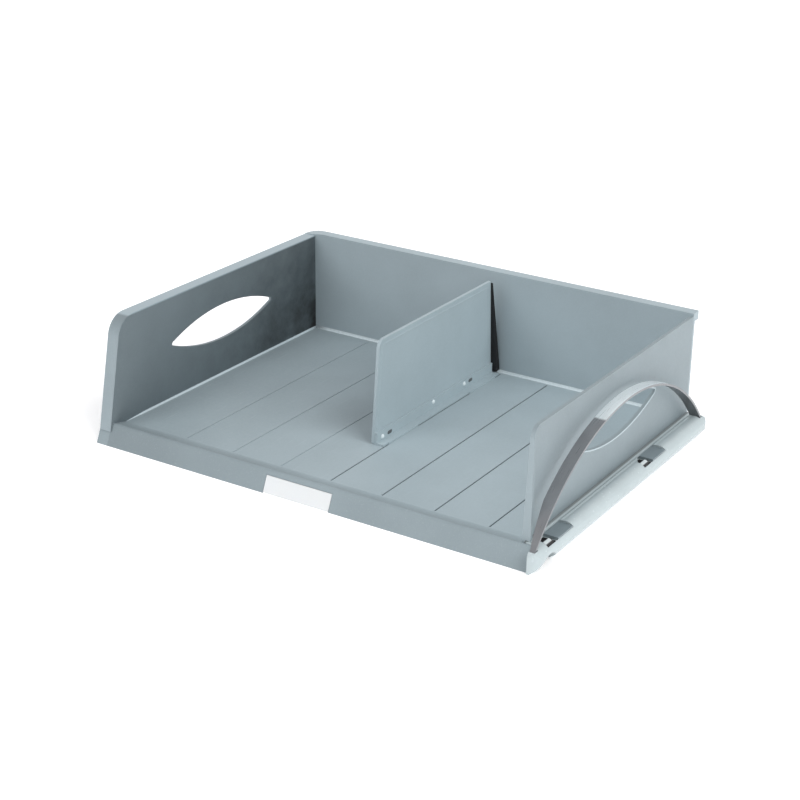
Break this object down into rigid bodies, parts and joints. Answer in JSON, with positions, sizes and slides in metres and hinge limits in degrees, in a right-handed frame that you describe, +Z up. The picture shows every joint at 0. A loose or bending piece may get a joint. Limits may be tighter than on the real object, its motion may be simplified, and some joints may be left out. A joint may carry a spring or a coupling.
{
  "type": "letter tray",
  "caption": "Landscape letter tray, open at the front, with hand holes, a back rim, a lift-out divider on a grooved floor, a side rail with a sprung bow and a label card on the front lip.",
  "frame": {"origin": "centre of the tray's box at the level of the table", "axes": "+Z up, -Y towards the open front, +X towards the side with the rail and bow"},
  "size_m": [0.368, 0.2752, 0.095],
  "materials": {
    "body": "matte blue-grey",
    "rail": "satin light blue-grey",
    "bow": "smooth grey",
    "peg": "satin",
    "seal": "soft dark strip",
    "label": "plain white"
  },
  "bodies": {
    "tray": {"base": "body", "left_wall": "body", "right_wall": "body", "back_wall": "body", "side_rail": "rail"},
    "divider": {"divider_panel": "body", "divider_foot": "body", "peg_front": "peg", "peg_middle": "peg", "peg_rear": "peg", "rear_seal": "seal"},
    "label": {"label_card": "label"},
    "side_bow": {"bow": "bow"},
    "front_snap": {"snap_front": "rail"},
    "rear_snap": {"snap_rear": "rail"}
  },
  "joints": [
    {"name": "divider_lift", "type": "slide", "parent": "tray", "child": "divider", "axis": [0, 0, 1], "range_m": [0, 0.12]},
    {"name": "label_pull", "type": "slide", "parent": "tray", "child": "label", "axis": [0, -0.9139, 0.4059], "range_m": [0, 0.01]},
    {"name": "bow_lift", "type": "slide", "parent": "tray", "child": "side_bow", "axis": [0, 0, 1], "range_m": [0, 0.03]},
    {"name": "front_snap_press", "type": "hinge", "parent": "tray", "child": "front_snap", "pos_m": [0.18, -0.12035, 0.0146], "axis": [1, 0, 0], "range_deg": [-8, 0]},
    {"name": "rear_snap_press", "type": "hinge", "parent": "tray", "child": "rear_snap", "pos_m": [0.18, 0.02365, 0.0146], "axis": [1, 0, 0], "range_deg": [-8, 0]}
  ]
}
